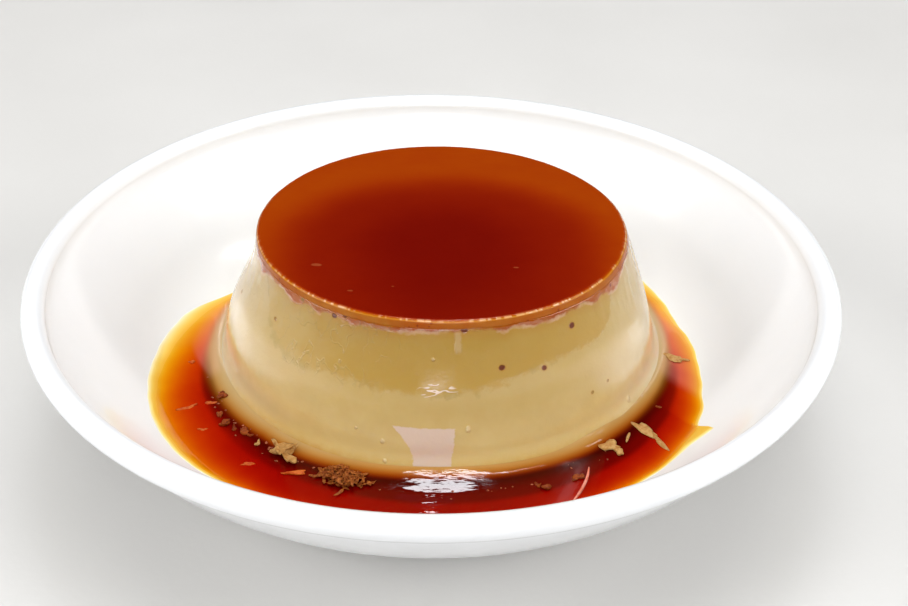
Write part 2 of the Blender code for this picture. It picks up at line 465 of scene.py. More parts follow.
def custard_profile():
    """Under the caramel layer out to its edge, down the flank, round the skirt, and underneath."""
    top = np.stack([np.array([0.3, 0.6, 0.85, 0.96]) * TOP_RADIUS, np.full(4, LAYER_FOOT)], 1)
    height = np.concatenate([np.linspace(LAYER_FOOT, SAUCE_LEVEL + FOOT_FLARE, 82)[:-1],
                             np.linspace(SAUCE_LEVEL + FOOT_FLARE, SAUCE_LEVEL, 20)])
    flank = np.stack([flank_radius(height), height], 1)
    low = np.stack([np.array([1.0, 0.96, 0.9, 0.75, 0.4]) * FOOT_RADIUS,
                    np.array([SAUCE_LEVEL - 1.0 * MM, *[FLOOR_HEIGHT] * 4])], 1)
    return np.concatenate([top, flank, low])


CREAM = (0.433, 0.295, 0.092)
WARM_CREAM = (0.452, 0.317, 0.108)
LOW_PAINTED_LIGHT_CREAM = (0.572, 0.423, 0.172)
SIDE_SHEEN = (0.58, 0.46, 0.27)
LOW_SIDE_SHEEN = (0.76, 0.65, 0.47)
FILM_TINT = (0.91, 0.80, 0.445)
FILM_STROKE = (0.30, 0.23, 0.07)
VEIL_STRENGTH = (0.17, 1.0, 2.1)
VEIL_REFLECTION = (0.56, 0.32, 0.21)
VEIL_EDGE = (0.66, 0.46, 0.30)
VEIL_TRAIL = (0.62, 0.47, 0.30)
BURNT_SPECK = (0.17, 0.022, 0.004)
SOAK_STRENGTH = (0.28, 0.85, 2.2)
PATCH_HIGHLIGHT = (0.61, 0.47, 0.455)
STRAND_HIGHLIGHT = (0.80, 0.66, 0.60)
LUMP_GLINT = (0.80, 0.66, 0.50)
HOLE_RIM = (0.40, 0.17, 0.02)
WIDE_HOLE = (0.11, 0.012, 0.0)
SMALL_HOLE = (0.21, 0.12, 0.02)
SMALL_HOLE_RADIUS = 0.45

# turn in degrees, height in mm and radius in mm of each pinhole, then of each small raised lump
PINHOLES = ((-51.8, 35.1, 0.62), (-74.3, 30.8, 0.55), (-62.5, 29.1, 0.48), (-84.1, 38.5, 0.62),
            (-121.8, 38.0, 0.50), (-118.3, 38.7, 0.48), (-134.0, 38.3, 0.40), (-42.6, 21.1, 0.30),
            (-48.7, 20.7, 0.34), (-144.3, 31.2, 0.38), (-104.5, 38.9, 0.28), (38.0, 33.0, 0.55),
            (102.0, 28.5, 0.5), (150.0, 36.0, 0.6), (61.0, 24.0, 0.4), (-171.0, 27.0, 0.4))
LUMPS = ((-83.7, 20.0, 0.75), (-111.2, 18.7, 0.45), (-104.4, 17.1, 0.6), (-103.5, 13.2, 0.5),
         (-35.2, 14.2, 0.9), (-92.5, 33.0, 0.4))


def flank_noises(finish):
    """A ragged and a broad unevenness, which the custard and the layer's cut side share."""
    return finish.noise(1.5 * MM, 3.0, 0.6), finish.noise(5.5 * MM, 2.0, 0.6, shift=(3.0, 1.0, 0.0))


def bare_custard(finish, up, side, broad):
    """Cream yellow, paler low down by painted light and paler still on both sides by a painted sheen;
    up is the height in mm.
    """
    mottle = finish.noise(5 * MM, 3.0, 0.55)
    colour = finish.blend(0.5 + 0.35 * mottle, CREAM, WARM_CREAM)
    # painted light: paler cream low down on the flank, lifting the shade that falls there
    colour = finish.blend(finish.step(up + 1.5 * broad, 25.0, 13.0), colour, LOW_PAINTED_LIGHT_CREAM)
    # painted sheen: both sides are made paler and lilac, a painted reflection of the white bowl
    colour = finish.blend(0.34 * side, colour, SIDE_SHEEN)
    low_side = side * finish.step(up + broad, 21.5, 14.5)
    return finish.blend(0.62 * low_side, colour, LOW_SIDE_SHEEN), mottle


def film_over(finish, colour, turn, rag, broad):
    """A film of caramel over the upper flank, weaker at the far left, with a ragged foot where it
    has gathered in dark strokes, and thin ridges at the left."""
    inside = finish.mark("film") + 0.7 * rag + 0.9 * broad
    loose = turn + 9.0 * broad
    film = finish.step(inside, -0.6, 0.7) * (0.35 + 0.65 * finish.step(loose, -134.0, -116.0))
    colour = finish.blend(0.9 * film, colour, FILM_TINT, "MULTIPLY")
    crease = finish.math("ABSOLUTE", finish.noise(3.2 * MM, 2.0, 0.55, stretch=(1.0, 1.0, 1.8)))
    ridge = finish.step(crease, 0.09, 0.02) * finish.step(inside, -1.6, -0.4)
    ridge = ridge * finish.step(turn + 6.0 * broad, -141.0, -134.0)
    ridge = ridge * finish.step(loose, -100.0, -112.0)
    strokes = finish.band(inside, -0.9, 0.0, 0.4, 1.6) * finish.step(broad, -0.1, 0.5)
    strokes = finish.math("MAXIMUM", strokes, 0.8 * ridge)
    return finish.blend(0.38 * strokes, colour, FILM_STROKE), film, ridge


def veil_over(finish, colour, drop, turn, rag, broad):
    """The thick veil below the top edge: caramel by its depth, with a painted pink reflection in
    patches, pale along parts of its edge, specked with burnt sugar, and one pale trail down from it at
    the front."""
    hung = finish.mark("veil") + 0.30 * rag + 0.25 * broad
    veil = finish.step(hung, -0.45, 0.45)
    depth = 1.25 * veil * (0.90 + 0.3 * broad) + 0.17 * finish.step(hung, -2.5, 0.3)
    colour = finish.steeped(colour, depth, VEIL_STRENGTH)
    # painted reflection: pink-lilac patches where the wet veil would mirror the bright room
    reflection_spots = finish.step(finish.noise(1.9 * MM, 2.0, 0.5, stretch=(1.5, 1.5, 0.8)), 0.25, 0.55)
    colour = finish.blend(0.24 * reflection_spots * veil, colour, VEIL_REFLECTION)
    edge = finish.band(hung, -0.7, -0.2, 0.0, 0.4) * finish.step(broad, -0.3, 0.3)
    colour = finish.blend(0.45 * edge, colour, VEIL_EDGE)
    shaken = turn + 0.5 * rag
    trail = finish.band(drop, 1.6, 2.6, 5.2, 6.6) * finish.band(shaken, -87.0, -86.2, -85.4, -84.6)
    colour = finish.blend(0.32 * trail, colour, VEIL_TRAIL)
    some = finish.step(finish.noise(7 * MM, 1.0, 0.5, shift=(5.0, 5.0, 0.0)), 0.05, 0.35)
    specks = finish.step(finish.cells(2.4 * MM), 0.20, 0.10) * some
    specks = specks * finish.step(finish.mark("veil"), -0.6, 0.4)
    return finish.blend(0.8 * specks, colour, BURNT_SPECK), veil, trail


def wet_highlight_patch(finish, turn, up, rag):
    """1 on a glossy patch low at the front, 12.5 to 20.5 mm up, painted with a pale highlight: its
    left edge is the curve -96.7 - 0.089 (up - 12.5)^2 degrees, and its right edge the line -89.6 +
    0.13 up."""
    above = up - 12.5
    left_edge = above * above * -0.089 - 96.7
    patch = finish.step(turn - left_edge + 0.5 * rag, -0.2, 0.2)
    patch = patch * finish.step(turn - 0.13 * up + 0.4 * rag, -89.4, -89.8)
    return patch * finish.step(up + 0.1 * rag, 12.5, 12.9) * finish.step(up + 0.15 * rag, 20.5, 20.2)


def highlight_strands(finish, turn, up):
    """1 on thin curled strands, painted as pale highlights, within an oval 11 degrees wide and 3 mm
    high at the front.
    """
    across, rising = (turn - STRANDS[0]) * (1.0 / 5.6), (up - STRANDS[1]) * (1.0 / 1.5)
    curl = finish.math("ABSOLUTE", finish.noise(2.2 * MM, 1.0, 0.5, stretch=(1.6, 1.6, 0.5)))
    return finish.step(curl, 0.17, 0.06) * finish.step(across * across + rising * rising, 1.0, 0.6)


def mm_from(finish, turn, up, angle, height, upright):
    """Distance over the flank in mm from a point on it: sqrt(across^2 + (upright x rise)^2)."""
    across = (turn - angle) * (math.radians(1.0) * flank_radius(height * MM) / MM)
    rising = (up - height) * upright
    return finish.math("SQRT", across * across + rising * rising)


def custard_finish():
    """Set custard, moist, with what lies on it from below up: the film, the veil, sauce soaked into
    the foot by exp(-1.15 x height above it), a wet patch painted with a highlight, strands painted as
    highlights, brown pinholes, and lumps painted paler as glints."""
    finish = Finish("custard")
    drop, turn = finish.mark("drop"), finish.mark("turn")
    rag, broad = flank_noises(finish)
    up = TOP_HEIGHT / MM - drop
    front = finish.math("SINE", turn * (-math.pi / 180.0))
    side = finish.step(front, 0.86, 0.15)
    colour, mottle = bare_custard(finish, up, side, broad)
    colour, film, ridge = film_over(finish, colour, turn, rag, broad)
    colour, veil, trail = veil_over(finish, colour, drop, turn, rag, broad)

    above = finish.math("MAXIMUM", up - SAUCE_LEVEL / MM + 0.25 * rag, 0.0)
    soak = finish.math("EXPONENT", above * -1.15) * (0.04 + 0.96 * finish.step(front, 0.2, 0.8))
    colour = finish.steeped(colour, 1.5 * soak, SOAK_STRENGTH)
    patch = wet_highlight_patch(finish, turn, up, rag)
    # painted highlight: the patch is painted pale lilac, the reflection of a window
    colour = finish.blend(0.62 * patch, colour, PATCH_HIGHLIGHT)
    strands = highlight_strands(finish, turn, up)
    # painted highlight: thin pale strokes standing in for glints on the bulge
    colour = finish.blend(0.75 * strands, colour, STRAND_HIGHLIGHT)

    dents = 0.0
    for angle, height, radius in PINHOLES:
        away = mm_from(finish, turn, up, angle, height, 1.2) + 0.12 * rag
        hole = finish.step(away, radius * 1.35, radius * 0.8)
        brown, strength = (WIDE_HOLE, 0.95) if radius > SMALL_HOLE_RADIUS else (SMALL_HOLE, 0.75)
        colour = finish.blend(0.55 * finish.step(away, radius * 2.0, radius), colour, HOLE_RIM)
        colour = finish.blend(strength * hole, colour, brown)
        dents = hole + dents
    lumps = 0.0
    for angle, height, radius in LUMPS:
        away = mm_from(finish, turn, up, angle, height, 0.9) + 0.35 * rag * radius
        lumps = finish.step(away, radius, radius * 0.2) + lumps
    # painted glint: the raised lumps are made paler as if catching the light
    colour = finish.blend(0.25 * lumps, colour, LUMP_GLINT)

    grain = 0.004 * finish.noise(0.5 * MM, 2.0) + 0.012 * finish.noise(2.2 * MM, 2.0)
    raised = 0.05 * (film + ridge + strands) + 0.07 * veil + 0.10 * trail + 0.22 * lumps
    finish.surface(
        Base_Color=colour,
        Roughness=0.22 - 0.08 * film - 0.06 * veil + 0.03 * mottle,
        Normal=finish.relief((grain + raised - 0.12 * dents) * MM),
        IOR=1.42,
        Subsurface_Weight=0.35,
        Subsurface_Radius=(1.0, 0.55, 0.25),
        Subsurface_Scale=3.0 * MM,
        Coat_Weight=0.20 + 0.80 * finish.math("MAXIMUM", 0.45 * side, patch),
        Coat_Roughness=0.09,
        Coat_IOR=1.42,
    )
    return finish


def axis_points(*heights):
    """Points of the flan's own axis at those heights, settled with it."""
    return [settled(np.array([0.0, 0.0, height])) for height in heights]


grid, marks = custard_grid(custard_profile(), 840)
custard_mesh = skin("custard_body", grid, axis_points(LAYER_FOOT, FLOOR_HEIGHT), marks)
place(custard_mesh, custard_finish(), "custard", "custard")


# -----------------------------------------------------------------------------
# The caramel layer was the bottom of the mould: a thin set sheet, glassy and deep red where it
# is thick, amber where it thins to the edge.  Its upper edge is sharp, with tiny beads along it.

LAYER_ROUND = 0.35 * MM
BEAD_HEIGHT = 0.14 * MM


def layer_profile():
    """Across the top, round the small radius of its edge, down its side, and underneath."""
    across = np.concatenate([np.linspace(0.03, 0.90, 26), np.linspace(0.92, 0.98, 6)]) * TOP_RADIUS
    flat = np.stack([across, np.full(len(across), TOP_HEIGHT)], 1)
    edge = arc((TOP_RADIUS - LAYER_ROUND, TOP_HEIGHT - LAYER_ROUND), LAYER_ROUND, 90, 16, 14)
    height = np.linspace(TOP_HEIGHT - LAYER_ROUND, LAYER_FOOT, 8)
    side = np.stack([flank_radius(height), height], 1)
    under = np.stack([np.array([0.96, 0.6, 0.3]) * TOP_RADIUS, np.full(3, LAYER_FOOT)], 1)
    return np.concatenate([flat, edge, side, under])


def layer_depth(grid):
    """Seen depth of caramel in mm: 5.2 about a point in front of the middle, less 1.05 and then
    1.75 as the distance grows, counted half towards the front."""
    x = (grid[..., 0] - CUSTARD_AXIS[0]) / MM
    y = (grid[..., 1] - CUSTARD_AXIS[1]) / MM + 9.0
    away = np.hypot(0.88 * x, y * np.where(y < 0.0, 0.5, 1.0))
    return 5.2 - 1.05 * rise(away, 6.0, 23.0) - 1.75 * rise(away, 21.0, 36.0)


def layer_grid(profile, columns):
    """The layer with beads along its edge: crest x (noise - 1) is added to the height, the crest
    being a bell 0.2 mm wide over the edge.  Marks: depth of caramel, side, and bead."""
    grid, marks = custard_grid(profile, columns)
    from_edge = (TOP_RADIUS - profile[:, 0, None]) / MM
    below = (TOP_HEIGHT - profile[:, 1, None]) / MM
    turn = np.radians(marks["turn"])
    ring = circle(turn, TOP_RADIUS)
    crest = np.exp(-(((from_edge - 0.10) / 0.20) ** 2) - ((below - 0.14) / 0.20) ** 2)
    beads = 0.75 * soft_noise(ring, 0.50 * MM, 31) + 0.45 * soft_noise(ring, 4.0 * MM, 32)
    grid[..., 2] += BEAD_HEIGHT * (beads - 1.0) * crest
    deepest = 0.9 + 4.5 * np.clip(from_edge - below, 0.0, 2.0)
    marks["depth"] = np.minimum(layer_depth(grid), deepest)
    marks["side"] = np.clip(below - from_edge, 0.0, 1.0) + 0.0 * turn
    marks["bead"] = crest * rise(beads, 0.0, 0.35)
    return grid, marks


CARAMEL_STRENGTH = (0.28, 1.0, 3.0)
UNDER_CARAMEL = (0.62, 0.42, 0.20)
FLECK = (0.45, 0.13, 0.04)
EDGE_BEAD_GLINT = (0.80, 0.46, 0.20)

# x, y and half length in mm of faint flecks set under the top
FLECKS = ((-23.7, -11.1, 1.2), (-16.4, -21.2, 0.8), (16.9, -11.5, 0.6), (-8.0, -19.4, 0.4))


def layer_finish():
    """Set caramel over custard: one clear brown-red whose tone follows its depth, and orange on
    its own cut side.  Beads of caramel along the edge are coated wet, and painted paler as a
    highlight."""
    finish = Finish("caramel_layer")
    depth = finish.mark("depth") + 0.10 * finish.noise(9 * MM, 2.0)
    drift = finish.noise(3 * MM, 3.0, 0.6, stretch=(3.0, 1.0, 1.0))
    top = finish.steeped(UNDER_CARAMEL, depth + 0.05 * drift, CARAMEL_STRENGTH)
    spot_x, spot_y = (finish.node("SeparateXYZ", None, {"Vector": finish.spot}, axis) for axis in "XY")
    for x, y, half in FLECKS:
        along = (spot_x - x * MM) * (1.0 / (half * MM))
        across = (spot_y - y * MM) * (1.0 / (0.5 * half * MM))
        fleck = finish.step(along * along + across * across + 0.5 * drift, 1.0, 0.3)
        top = finish.blend(0.30 * fleck, top, FLECK)
    rag, broad = flank_noises(finish)
    side = finish.steeped(CREAM, 1.3 * (0.9 + 0.3 * broad), VEIL_STRENGTH)
    specks = finish.step(finish.cells(1.3 * MM), 0.26, 0.14) * finish.step(broad, 0.0, 0.3)
    side = finish.blend(0.7 * specks, side, BURNT_SPECK)
    colour = finish.blend(finish.step(finish.mark("side") + 0.12 * rag, 0.2, 0.7), top, side)
    # painted highlight: the beads along the edge are made lighter orange, besides their real coat
    bead = finish.mark("bead")
    grain = 0.002 * finish.noise(1.2 * MM, 2.0) + 0.006 * finish.noise(7 * MM, 1.0)
    finish.surface(
        Base_Color=finish.blend(0.65 * bead, colour, EDGE_BEAD_GLINT),
        Roughness=0.13 + 0.02 * finish.noise(4 * MM),
        Normal=finish.relief(grain * MM),
        IOR=1.42,
        Specular_IOR_Level=0.16,
        Coat_Weight=bead,
        Coat_Roughness=0.05,
    )
    return finish


grid, marks = layer_grid(layer_profile(), 1440)
layer_mesh = skin("caramel_sheet", grid, axis_points(TOP_HEIGHT, LAYER_FOOT), marks)
place(layer_mesh, layer_finish(), "caramel_layer", "caramel_top")


# -----------------------------------------------------------------------------
# The sauce is thin caramel that ran off the flan: a clear amber pool, dark where it is deep,
# climbing a little up the custard's foot, wetting the bowl on the left, rounded on the right.

CLIMB = 1.7 * MM
CONTACT = float(flank_radius(SAUCE_LEVEL + CLIMB)) - 0.05 * MM
LEAST_WIDTH = 2.2 * MM
WET_FILM = 0.12 * MM
POOL_BLEND = 0.5 * MM
SHORE_LIP = 0.30 * MM
RAMP_RISE = 1.75 * MM
RAMP_BLEND = math.sqrt(0.006)

# in mm: the run of the ramp at the front, and the shore's radius before its swellings
RAMP_RUN = 6.6
SHORE_REACH = 60.1

# angle and width in degrees, and mm, of each swelling or hollow of the shore
SHORE = ((-157, 23, 2.8), (142, 21, -6.5), (10, 24, -1.7), (14, 6, -0.5), (-20.5, 3.5, 0.9),
         (-38, 9, 1.3), (-29, 4, 1.0), (-166, 5, -0.3), (-142, 9, 1.4), (163, 8, 1.0))


def shore_radius(angle):
    """Radius of the pool's edge about the bowl's axis, angle in degrees, and what is added to it
    by a small tongue on the right: 3.7 mm x e^(-degrees past it / 4), which ends sharply."""
    reach = SHORE_REACH + sum(size * bell(angle, centre, width) for centre, width, size in SHORE)
    turn = np.radians(angle)
    ripple = 0.10 * np.sin(11 * turn + 0.4) + 0.08 * np.sin(23 * turn) + 0.05 * np.sin(57 * turn)
    beyond = short_way(-28.4 - angle)
    tongue = 3.7 * np.exp(-np.clip(beyond, 0.0, 90.0) / 4.0) * rise(beyond, -2.0, 0.4)
    return (reach + ripple) * MM, tongue * MM


def sauce_depth(radius, to_shore, outside):
    """Depth of the lying sauce: down to the bowl from the pool's level, or a wet film where the
    bowl is above that, rounded off at the shore by a cap sqrt(1.6 d) + d^2 at d mm inside it."""
    pool = WET_FILM + eased(SAUCE_LEVEL - bowl_inside(radius) - WET_FILM, POOL_BLEND)
    cap = (np.sqrt(1.6 * to_shore) + to_shore**2) * MM
    depth = pool * cap / np.sqrt(pool**2 + cap**2 + 1e-14)
    return np.maximum(depth, SHORE_LIP * rise(outside, 0.0, 0.9)) * rise(outside, 0.0, 0.25)


def sauce_climb(angle, inside):
    """How far the sauce stands up at d mm from the custard: climb x (0.5 e^(-d / 0.9) +
    0.5 e^(-d / 2.8)); at the front it is an even ramp instead, and there is one swelling."""
    climb = CLIMB * (0.5 * np.exp(-inside / 0.9) + 0.5 * np.exp(-inside / 2.8))
    ramp = RAMP_RISE * eased(1.0 - inside / RAMP_RUN, RAMP_BLEND)
    climb = climb + (ramp - climb) * bell(angle, -90.0, 13.0)
    swell = bell(angle, -50.0, 6.0) * np.exp(-((inside / 2.2) ** 2)) * rise(inside, -0.3, 0.7)
    return climb + 0.5 * swell * MM


def sauce_marks(turn, inside, outside, to_shore):
    """What the finish reads over the sauce; inside and outside are mm from custard and shore.

    depth is the pool's, in mm: 7.6 tanh(slope d / 7.6) at d from the shore, steeper at the front.
    through is the sauce before the custard's foot, growing as e^distance, and floor is 1 where
    the pool hides the foot.  shade darkens a band of the pool in front of the flan, painted_reflection
    is a painted reflection of the pale bowl and flank at both sides, and wrinkle is where the surface
    has a fine grain.
    """
    angle = short_way(np.degrees(turn))
    front = -np.sin(turn)
    ahead = np.clip(front / 0.7, 0.0, 1.0)
    leftward = 0.5 - 0.5 * np.cos(turn)

    slope = (0.365 + 0.105 * np.cos(turn)) * np.exp((1.44 - 0.28 * np.cos(turn)) * front)
    slope = slope * (1.0 - 0.28 * bell(angle, -144.0, 12.0))
    depth = 7.6 * np.tanh(slope * to_shore / 7.6)
    depth = depth + (0.24 + 0.17 * np.cos(turn)) * (1.0 - np.exp(-outside / 0.6))
    depth = depth + 0.55 * rise(outside, 0.0, 1.5) * fall(to_shore, -0.5, 0.5)

    left_foot = (1.15 + 1.9 * front) * leftward
    right_foot = (0.6 - 2.4 * np.clip(front, 0.0, 0.5) ** 2) * (1.0 - leftward)
    past_foot = inside - (left_foot + right_foot) * (1.0 - ahead**3)
    past_foot = past_foot - 1.4 * bell(angle, -130.0, 18.0) - 0.6 * bell(angle, -54.0, 11.0)
    through = (0.12 + 0.38 * ahead**2) * np.exp(past_foot / (1.6 - 0.1 * ahead))
    through = np.minimum(through, 1.1 + 5.4 * rise(ahead, 0.1, 0.45))

    band_end = 4.4 + 5.1 * ahead**0.8
    dark = rise(past_foot, 1.0 + 1.2 * ahead, 2.4 + 2.0 * ahead)
    dark = dark * fall(inside, band_end - 1.1, band_end + 0.8)
    dark = dark * rise(ahead, 0.05, 0.5) * (1.0 - 0.4 * bell(angle, -137.0, 18.0))

    reached = front + 0.07 * np.clip(inside - 4.5, 0.0, 4.0) * leftward
    # painted reflection: a pale tint of the bowl and flank mirrored in the sauce, at both sides
    painted_reflection = 0.145 * rise(front, -0.40, -0.10) * fall(reached, 0.23, 0.32)
    painted_reflection = painted_reflection * rise(inside, 0.8, 2.4) * rise(outside, 0.3, 2.0)
    painted_reflection = painted_reflection * (1.0 - (0.3 + 0.6 * leftward) * rise(inside, 4.0, 9.0))

    near = bell(angle, -87.0, 16.0) * rise(inside, -0.3, 0.8) * fall(inside, 5.0, 7.0)
    far = bell(angle, -91.5, 2.2) * rise(inside, 5.0, 7.5) * rise(outside, 0.5, 2.0)
    return {"depth": depth, "through": through, "painted_reflection": painted_reflection, "shade": 1.0 - 0.50 * dark,
            "floor": rise(past_foot, 1.6 + 1.6 * ahead, 4.4 + 3.2 * ahead),
            "wrinkle": 0.5 * near + 4.0 * far}


def sauce_grid(columns):
    """Top from the custard out to the shore, then back along the bowl to the custard.

    A ring's share of the way out is 0.5 - 0.5 cos, so that rings crowd at both edges, and its
    height is the bowl's, the depth and the climb together.
    """
    turn = once_round(columns)
    angle = short_way(np.degrees(turn))
    inner = circle(turn, CONTACT)[:, :2] + CUSTARD_AXIS
    plain, tongue = shore_radius(angle)
    plain = np.maximum(plain, np.hypot(*inner.T) + LEAST_WIDTH)
    outer = circle(turn, 1.0)[:, :2] * (plain + tongue)[:, None]
    share = 0.5 - 0.5 * np.cos(np.linspace(0.0, math.pi, 90))
    flat = inner + (outer - inner) * share[:, None, None]
    radius = np.hypot(flat[..., 0], flat[..., 1])
    width = np.hypot(*(outer - inner).T) / MM
    inside = share[:, None] * width
    outside = (1.0 - share[:, None]) * width
    to_shore = np.clip(plain - radius, 0.0, None) / MM
    ground = bowl_inside(radius)
    climb = sauce_climb(angle, inside) * rise(outside, 0.0, 2.5)
    top = ground + sauce_depth(radius, to_shore, outside) + climb
    under = np.minimum(ground + 0.02 * MM, top)
    upper = np.concatenate([flat, top[..., None]], -1)
    lower = np.concatenate([flat, under[..., None]], -1)[::-1]
    marks = sauce_marks(turn, inside, outside, to_shore)
    marks = {name: np.concatenate([value, value[::-1][1:]]) for name, value in marks.items()}
    return np.concatenate([upper, lower[1:]]), marks


POOL_GROUND = (0.95, 0.92, 0.86)
POOL_STRENGTH = (0.19, 0.95, 4.4)
FOOT_GROUND = (0.52, 0.39, 0.20)
FOOT_STRENGTH = (0.30, 0.84, 1.75)
REFLECTION_TINT = (0.97, 0.55, 0.49)


def sauce_finish():
    """Clear liquid caramel: yellow at its thin edge, orange, red, then nearly black with depth.
    Against the flan it shows the custard through it, and beyond that the flan's own shade."""
    finish = Finish("caramel_sauce")
    depth = finish.mark("depth")
    pool = finish.steeped(POOL_GROUND, depth * (1.0 + 0.05 * finish.noise(6 * MM, 3.0)), POOL_STRENGTH)
    foot = finish.steeped(FOOT_GROUND, finish.mark("through"), FOOT_STRENGTH)
    colour = finish.blend(finish.mark("floor"), foot, pool)
    # painted reflection of the pale bowl and flank, blended in at both sides
    colour = finish.blend(finish.mark("painted_reflection"), colour, REFLECTION_TINT)
    shade = finish.mark("shade")
    grey = finish.node("CombineColor", None, {0: shade, 1: shade, 2: shade})
    wrinkles = finish.noise(1.3 * MM, 2.0, 0.5, stretch=(4.0, 1.0, 1.0)) * finish.mark("wrinkle")
    finish.surface(
        Base_Color=finish.blend(1.0, colour, grey, "MULTIPLY"),
        Roughness=0.04 + 0.01 * finish.noise(5 * MM) + 0.5 * finish.step(depth, 1.3, 0.4),
        Normal=finish.relief((0.006 * finish.noise(8 * MM, 1.0) + 0.03 * wrinkles) * MM),
        IOR=1.45,
        Specular_IOR_Level=0.16,
    )
    return finish


grid, marks = sauce_grid(540)
place(skin("sauce_pool", grid, None, marks), sauce_finish(), "caramel_sauce", "caramel_sauce")


# -----------------------------------------------------------------------------
# Torn scraps came off the flan as it was turned out and lie in the sauce along its foot: pale
# flakes of custard, a heap of brown baked shreds at the front, and one thin thread of skin.


def scraps(centres, sizes, turns, seeds, thick, curl, rough, rows=7, columns=18):
    """Torn flat scraps, one closed grid each: (pieces, rows, columns, 3) and their end points.

    The outline is an ellipse whose radius is shaken by smooth noise round it.  At a share s of
    the way out the scrap is thick sqrt(1 - 0.97 s^2), and it curls up by curl s^2 (0.5 + 1.2
    noise).  centres (x, y, z), half lengths and half widths are in mm, turns in degrees.
    """
    angle = once_round(columns)
    half = np.linspace(0.12, 1.0, rows)
    share = np.concatenate([half, half[::-1][1:]])
    side = np.concatenate([np.ones(rows), -np.ones(rows - 1)])
    wheel = circle(angle, 1.3) + seeds[:, None, None] * [3.7, 1.3, 2.1]
    shake = soft_noise(wheel, 1.0, 41)
    lift = soft_noise(wheel, 1.4, 42)
    reach = (1.0 + rough * shake)[:, None, :] * share[:, None]
    across = reach * np.cos(angle) * sizes[:, 0, None, None]
    along = reach * np.sin(angle) * sizes[:, 1, None, None]
    body = 0.5 * side * np.sqrt(1.0 - 0.97 * share**2)
    bend = (share**2)[:, None] * (0.5 + 1.2 * lift)[:, None, :]
    height = thick[:, None, None] * body[:, None] + curl[:, None, None] * bend
    turn = np.radians(turns)[:, None, None]
    x = across * np.cos(turn) - along * np.sin(turn)
    y = across * np.sin(turn) + along * np.cos(turn)
    grids = (np.stack([x, y, height], -1) + centres[:, None, None]) * MM
    ends = np.repeat(centres[:, None], 2, 1)
    ends[:, :, 2] += np.stack([thick, -thick], -1) * 0.5
    return grids, ends * MM


def scrap_finish(name, light, dark, size):
    """Torn custard soaked with caramel: mottled between two tones, its surface crumbly and wet."""
    finish = Finish(name)
    mottle = finish.noise(size * MM, 3.0, 0.65)
    fine = finish.noise(0.35 * size * MM, 3.0, 0.6, shift=(2.0, 5.0, 1.0))
    finish.surface(
        Base_Color=finish.blend(finish.step(mottle + 0.4 * fine, -0.6, 0.6), dark, light),
        Roughness=0.50 + 0.06 * fine,
        Normal=finish.relief((0.03 * mottle + 0.02 * fine) * (size * MM)),
        IOR=1.42,
        Specular_IOR_Level=0.06,
    )
    return finish


LEVEL = SAUCE_LEVEL / MM

# in mm and degrees: x, y, height above the sauce; half length, half width; turn; thickness; curl
FLAKES = ((-30.9, -34.1, 0.7, 2.3, 1.5, -50, 0.5, 1.4), (-28.8, -37.6, 0.5, 2.6, 1.0, -64, 0.5, 1.2),
          (-28.0, -35.0, 0.8, 1.9, 0.7, 12, 0.4, 0.9), (-31.2, -36.0, 0.7, 1.4, 0.9, 80, 0.4, 1.2),
          (-35.3, -32.4, 0.2, 1.5, 0.5, 78, 0.4, 0.6),
          (43.4, -27.5, 0.3, 3.1, 1.15, -52, 0.5, 0.2), (46.4, -32.0, 0.1, 2.6, 0.7, -62, 0.4, 0.1),
          (45.0, -29.8, 0.2, 1.5, 0.9, -55, 0.4, 0.1), (36.0, -33.2, 0.5, 2.5, 1.8, 15, 1.0, 0.2),
          (37.6, -35.0, 0.4, 1.3, 0.9, -60, 1.0, 0.2), (39.8, -30.6, 0.4, 1.1, 0.45, 70, 0.6, 0.2),
          (53.0, -1.6, 0.35, 2.8, 1.3, -14, 0.5, 0.1), (55.2, -2.4, 0.3, 1.2, 0.5, -20, 0.4, 0.0))

# brown bits as dark as the heap, and paler ones that lie just under the sauce
BITS = ((-44.8, -17.0, 0.2, 1.2, 0.8, 50, 0.6, 0.6), (-42.7, -25.9, 0.2, 1.2, 0.9, 30, 0.7, 0.6),
        (-40.6, -27.0, 0.1, 0.8, 0.5, 80, 0.5, 0.4), (-38.7, -28.3, 0.2, 1.2, 0.8, -30, 0.7, 0.6),
        (-37.2, -29.6, 0.1, 0.9, 0.5, 10, 0.5, 0.4), (-44.2, -22.6, 0.1, 1.0, 0.6, -60, 0.5, 0.5),
        (47.6, -19.8, 0.1, 0.6, 0.4, 0, 0.4, 0.2), (22.5, -46.0, 0.1, 1.2, 0.7, 20, 0.5, 0.6),
        (20.6, -45.2, 0.1, 0.9, 0.5, -40, 0.5, 0.6), (28.6, -42.6, 0.1, 1.4, 0.9, 30, 0.5, 0.4))
SUNK = ((-28.2, -41.6, 0.1, 2.4, 0.5, 3, 0.5, 0.3), (-52.8, -3.8, 0.1, 0.7, 0.5, 0, 0.5, 0.2),
        (-50.6, -19.8, 0.0, 2.3, 0.5, 22, 0.4, 0.3), (-47.0, -18.6, 0.0, 1.5, 0.4, 12, 0.4, 0.3),
        (-47.2, -27.6, 0.0, 1.2, 0.5, 10, 0.4, 0.2), (-36.6, -38.6, 0.0, 1.4, 0.4, 5, 0.4, 0.2))

KINDS = (("custard_flakes", FLAKES, (0.52, 0.31, 0.11), (0.41, 0.19, 0.05)),
         ("brown_bits", BITS, (0.27, 0.055, 0.007), (0.13, 0.016, 0.002)),
         ("sunk_bits", SUNK, (0.56, 0.13, 0.02), (0.42, 0.055, 0.006)))
for name, table, light, dark in KINDS:
    laid = np.array(table)
    grids, ends = scraps(laid[:, :3] + [0, 0, LEVEL], laid[:, 3:5], laid[:, 5],
                         np.arange(len(laid)), laid[:, 6], laid[:, 7], rough=0.85)
    place(skin(name, grids, ends), scrap_finish(name, light, dark, 1.2), "custard")

